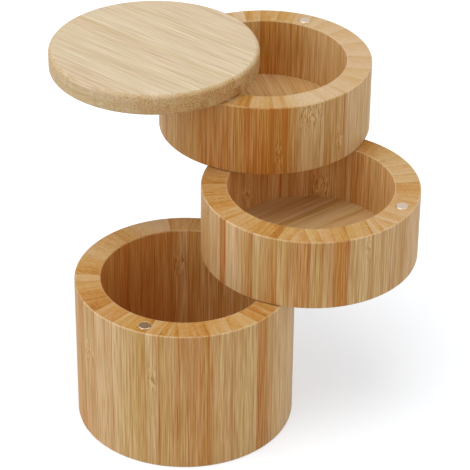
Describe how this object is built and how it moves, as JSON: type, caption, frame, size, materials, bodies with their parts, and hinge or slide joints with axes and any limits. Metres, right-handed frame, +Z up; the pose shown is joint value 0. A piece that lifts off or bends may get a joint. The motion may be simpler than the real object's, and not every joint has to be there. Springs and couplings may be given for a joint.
{
  "type": "rotating salt box",
  "caption": "Round bamboo box of stacked tiers under a flat lid, all swivelling on one steel pin, held closed by disc magnets.",
  "frame": {"origin": "centre of the base's foot face, on the surface that the box stands on", "axes": "+Z up along the pin, +Y from the middle of the base towards the pin, -Y towards the base's rim magnet"},
  "size_m": [0.1656, 0.1692, 0.1359],
  "materials": {
    "bamboo_base": "sanded and oiled bamboo, satin",
    "bamboo_tier": "sanded and oiled bamboo, satin",
    "bamboo_floor": "sanded and oiled bamboo, satin",
    "bamboo_lid": "sanded and oiled bamboo, satin",
    "magnet_nickel": "nickel plated, satin",
    "pin_steel": "drawn steel",
    "washer_nylon": "natural nylon, matte"
  },
  "bodies": {
    "base": {"base_wall": "bamboo_base", "base_floor": "bamboo_floor", "base_rim_magnet": "magnet_nickel", "base_swivel_washer": "washer_nylon", "pin_head_washer": "pin_steel", "pin_plug": "bamboo_base"},
    "middle": {"middle_wall": "bamboo_tier", "middle_floor": "bamboo_floor", "middle_foot_magnet": "magnet_nickel", "middle_rim_magnet": "magnet_nickel", "middle_swivel_washer": "washer_nylon"},
    "top": {"top_wall": "bamboo_tier", "top_floor": "bamboo_floor", "top_foot_magnet": "magnet_nickel", "top_rim_magnet": "magnet_nickel", "top_swivel_washer": "washer_nylon"},
    "lid": {"lid_disc": "bamboo_lid", "lid_magnet": "magnet_nickel", "pivot_pin": "pin_steel"}
  },
  "joints": [
    {"name": "middle_swivel", "type": "hinge", "parent": "base", "child": "middle", "pos_m": [0, 0.03965, 0.0643], "axis": [0, 0, 1], "continuous": true},
    {"name": "top_swivel", "type": "hinge", "parent": "middle", "child": "top", "pos_m": [0, 0.03965, 0.0956], "axis": [0, 0, 1], "continuous": true},
    {"name": "lid_swivel", "type": "hinge", "parent": "top", "child": "lid", "pos_m": [0, 0.03965, 0.1269], "axis": [0, 0, 1], "continuous": true}
  ]
}
